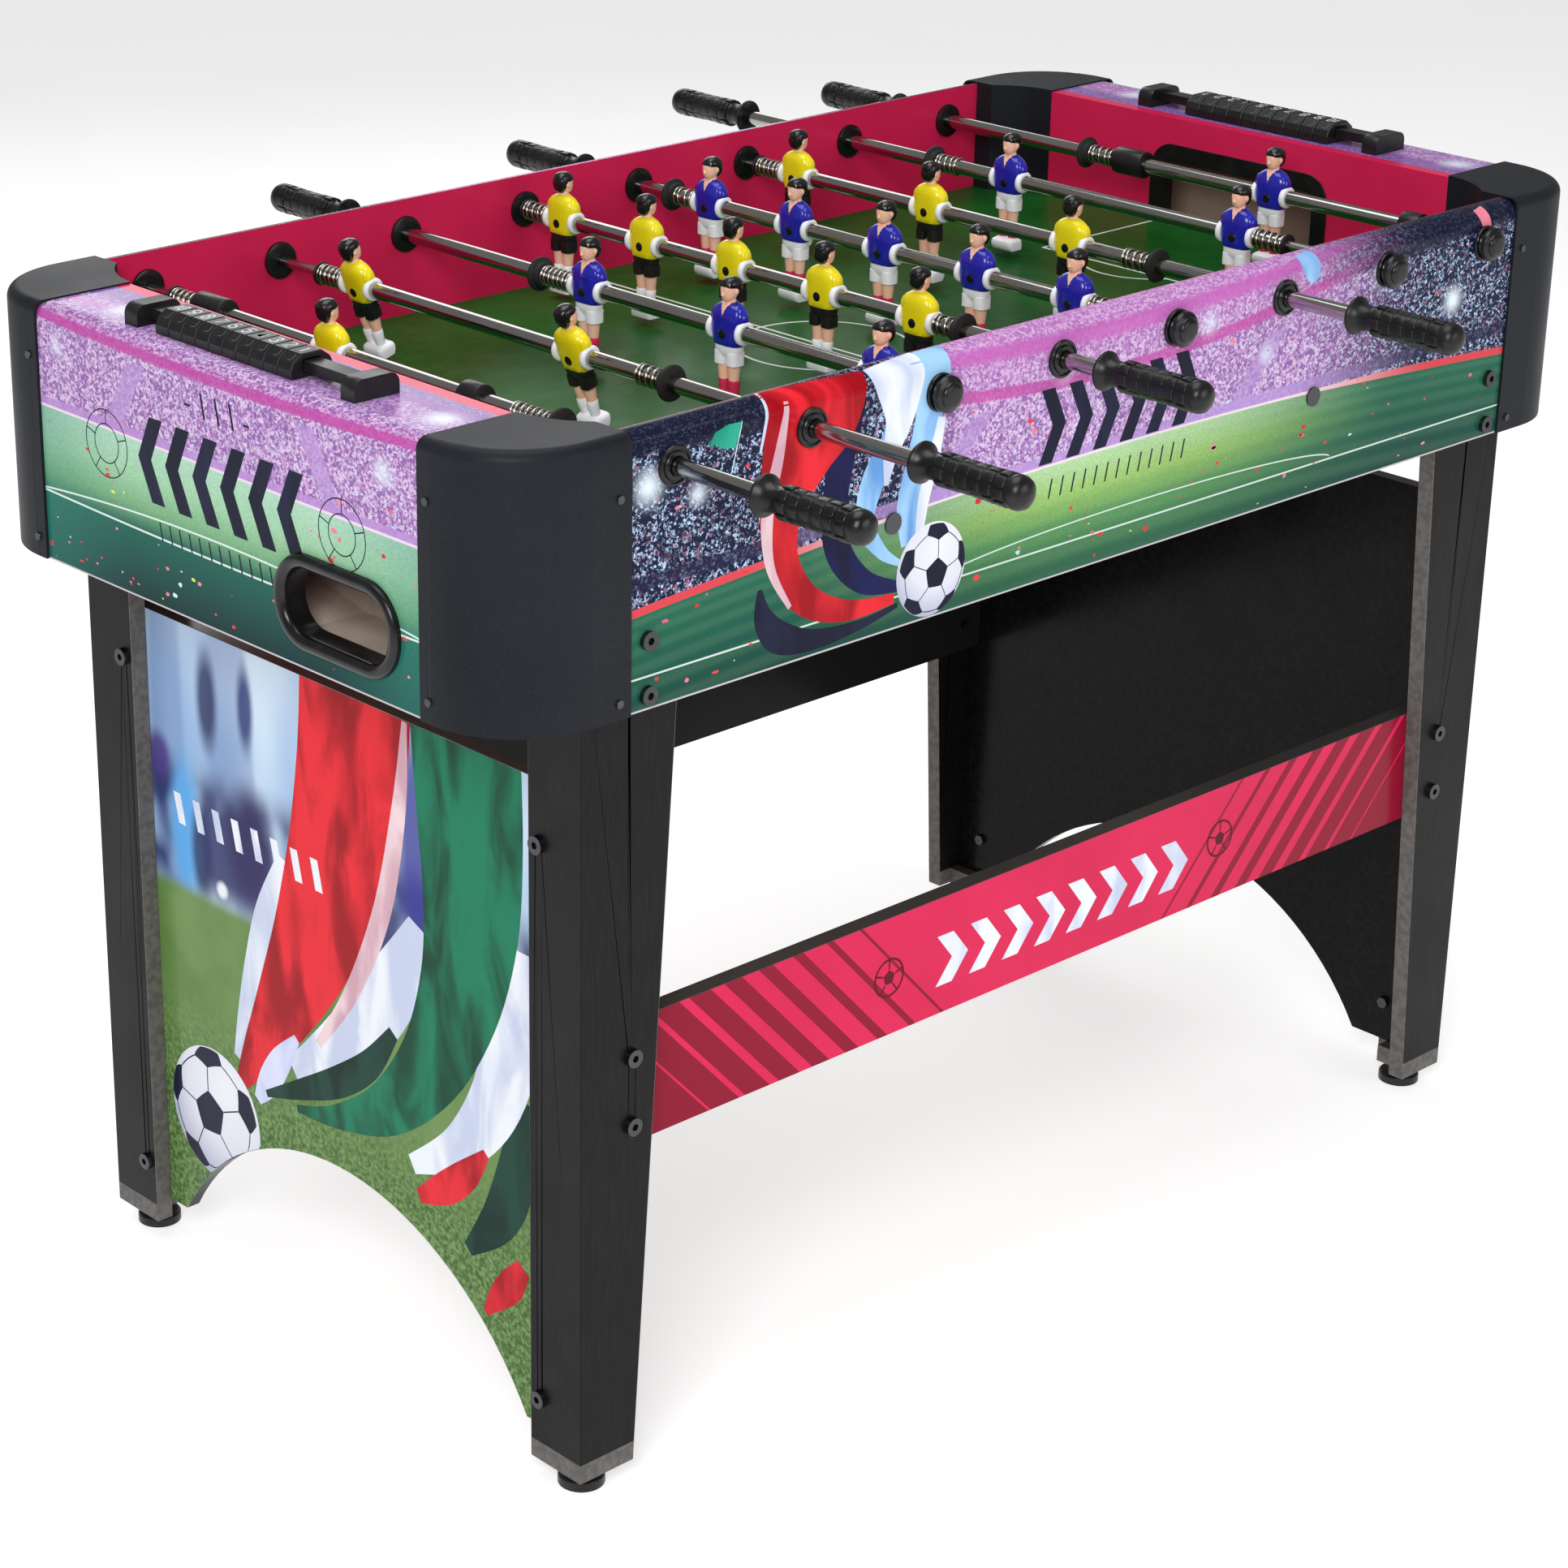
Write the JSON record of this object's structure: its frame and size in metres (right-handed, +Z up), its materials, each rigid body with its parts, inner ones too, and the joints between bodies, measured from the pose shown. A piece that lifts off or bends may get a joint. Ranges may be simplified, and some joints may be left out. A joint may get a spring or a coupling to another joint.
{
  "type": "foosball table",
  "caption": "Box table on four board legs with sliding, turning telescopic player rods over a walled playfield, goal mouths, ball returns and bead scorers.",
  "frame": {"origin": "on the floor, under the middle of the table", "axes": "+X along the table towards the right end seen from the front long side, +Y across it towards the rear side, along the rods, +Z up"},
  "size_m": [1.222, 1.0385, 0.8455],
  "materials": {
    "print_long": "wrapped fibreboard printed with a stadium crowd and turf, satin",
    "print_end": "wrapped fibreboard printed with a stadium crowd and turf, satin",
    "goal_wall_red": "crimson wrapped fibreboard, satin",
    "turf": "fibreboard printed dark green with thin white pitch lines, satin",
    "fibreboard": "raw brown fibreboard",
    "cap_plastic": "charcoal moulded plastic with a fine texture",
    "leg_black": "black wrapped fibreboard with grey edge bands, satin",
    "foot_black": "black plastic",
    "end_board_print": "fibreboard printed with a blurred sports picture, satin",
    "stretcher_red": "crimson wrapped fibreboard with darker slanting stripes",
    "goal_black": "black plastic",
    "ring_black": "black plastic",
    "score_black": "black plastic with white numbers",
    "bolt_steel": "zinc-plated",
    "rod_chrome": "polished",
    "core_steel": "bright drawn steel",
    "spring_steel": "bright spring wire with black rubber washers",
    "bearing_black": "black nylon",
    "grip_black": "black moulded grip with raised blocks",
    "player_yellow": "painted moulded plastic, yellow shirt and black shorts",
    "player_blue": "painted moulded plastic, blue shirt and white shorts"
  },
  "bodies": {
    "cabinet": {"front_side_panel": "print_long", "rear_side_panel": "print_long", "left_end_panel": "print_end", "right_end_panel": "print_end", "left_goal_wall": "goal_wall_red", "right_goal_wall": "goal_wall_red", "playfield": "turf", "playfield_battens": "fibreboard", "corner_caps": "cap_plastic", "front_left_leg": "leg_black", "rear_left_leg": "leg_black", "front_right_leg": "leg_black", "rear_right_leg": "leg_black", "leveller_feet": "foot_black", "end_boards": "end_board_print", "front_stretcher": "stretcher_red", "rear_stretcher": "stretcher_red", "goal_frames": "goal_black", "ball_return_rings": "ring_black", "ball_trays": "fibreboard", "score_rails": "score_black", "frame_bolts": "bolt_steel", "panel_screws": "bolt_steel", "inner_rods": "core_steel", "rod_bushings": "bearing_black", "rod_end_domes": "bearing_black"},
    "left_bead_pack": {"left_score_beads": "score_black"},
    "right_bead_pack": {"right_score_beads": "score_black"},
    "rod1_slide": {"rod1_springs": "spring_steel"},
    "rod1_spin": {"rod1_tube": "rod_chrome", "rod1_players": "player_yellow", "rod1_handle": "grip_black"},
    "rod2_slide": {"rod2_springs": "spring_steel"},
    "rod2_spin": {"rod2_tube": "rod_chrome", "rod2_players": "player_yellow", "rod2_handle": "grip_black"},
    "rod3_slide": {"rod3_springs": "spring_steel"},
    "rod3_spin": {"rod3_tube": "rod_chrome", "rod3_players": "player_blue", "rod3_handle": "grip_black"},
    "rod4_slide": {"rod4_springs": "spring_steel"},
    "rod4_spin": {"rod4_tube": "rod_chrome", "rod4_players": "player_yellow", "rod4_handle": "grip_black"},
    "rod5_slide": {"rod5_springs": "spring_steel"},
    "rod5_spin": {"rod5_tube": "rod_chrome", "rod5_players": "player_blue", "rod5_handle": "grip_black"},
    "rod6_slide": {"rod6_springs": "spring_steel"},
    "rod6_spin": {"rod6_tube": "rod_chrome", "rod6_players": "player_yellow", "rod6_handle": "grip_black"},
    "rod7_slide": {"rod7_springs": "spring_steel"},
    "rod7_spin": {"rod7_tube": "rod_chrome", "rod7_players": "player_blue", "rod7_handle": "grip_black"},
    "rod8_slide": {"rod8_springs": "spring_steel"},
    "rod8_spin": {"rod8_tube": "rod_chrome", "rod8_players": "player_blue", "rod8_handle": "grip_black"}
  },
  "joints": [
    {"name": "rod1_push_pull", "type": "slide", "parent": "cabinet", "child": "rod1_slide", "axis": [0, 1, 0], "range_m": [-0.0865, 0.0335]},
    {"name": "rod1_turn", "type": "hinge", "parent": "rod1_slide", "child": "rod1_spin", "pos_m": [-0.455, 0, 0.799], "axis": [0, 1, 0], "continuous": true},
    {"name": "rod2_push_pull", "type": "slide", "parent": "cabinet", "child": "rod2_slide", "axis": [0, 1, 0], "range_m": [-0.1135, 0.0515]},
    {"name": "rod2_turn", "type": "hinge", "parent": "rod2_slide", "child": "rod2_spin", "pos_m": [-0.325, 0, 0.799], "axis": [0, 1, 0], "continuous": true},
    {"name": "rod3_push_pull", "type": "slide", "parent": "cabinet", "child": "rod3_slide", "axis": [0, 1, 0], "range_m": [0, 0.1585]},
    {"name": "rod3_turn", "type": "hinge", "parent": "rod3_slide", "child": "rod3_spin", "pos_m": [-0.195, 0, 0.799], "axis": [0, 1, 0], "continuous": true},
    {"name": "rod4_push_pull", "type": "slide", "parent": "cabinet", "child": "rod4_slide", "axis": [0, 1, 0], "range_m": [-0.0705, 0]},
    {"name": "rod4_turn", "type": "hinge", "parent": "rod4_slide", "child": "rod4_spin", "pos_m": [-0.065, 0, 0.799], "axis": [0, 1, 0], "continuous": true},
    {"name": "rod5_push_pull", "type": "slide", "parent": "cabinet", "child": "rod5_slide", "axis": [0, 1, 0], "range_m": [-0.0435, 0.0315]},
    {"name": "rod5_turn", "type": "hinge", "parent": "rod5_slide", "child": "rod5_spin", "pos_m": [0.065, 0, 0.799], "axis": [0, 1, 0], "continuous": true},
    {"name": "rod6_push_pull", "type": "slide", "parent": "cabinet", "child": "rod6_slide", "axis": [0, 1, 0], "range_m": [-0.0985, 0.014]},
    {"name": "rod6_turn", "type": "hinge", "parent": "rod6_slide", "child": "rod6_spin", "pos_m": [0.195, 0, 0.799], "axis": [0, 1, 0], "continuous": true},
    {"name": "rod7_push_pull", "type": "slide", "parent": "cabinet", "child": "rod7_slide", "axis": [0, 1, 0], "range_m": [-0.0805, 0.0905]},
    {"name": "rod7_turn", "type": "hinge", "parent": "rod7_slide", "child": "rod7_spin", "pos_m": [0.325, 0, 0.799], "axis": [0, 1, 0], "continuous": true},
    {"name": "rod8_push_pull", "type": "slide", "parent": "cabinet", "child": "rod8_slide", "axis": [0, 1, 0], "range_m": [-0.0095, 0.169]},
    {"name": "rod8_turn", "type": "hinge", "parent": "rod8_slide", "child": "rod8_spin", "pos_m": [0.455, 0, 0.799], "axis": [0, 1, 0], "continuous": true},
    {"name": "left_beads_slide", "type": "slide", "parent": "cabinet", "child": "left_bead_pack", "axis": [0, 1, 0], "range_m": [-0.056, 0.0205]},
    {"name": "right_beads_slide", "type": "slide", "parent": "cabinet", "child": "right_bead_pack", "axis": [0, 1, 0], "range_m": [-0.038, 0.038]}
  ]
}
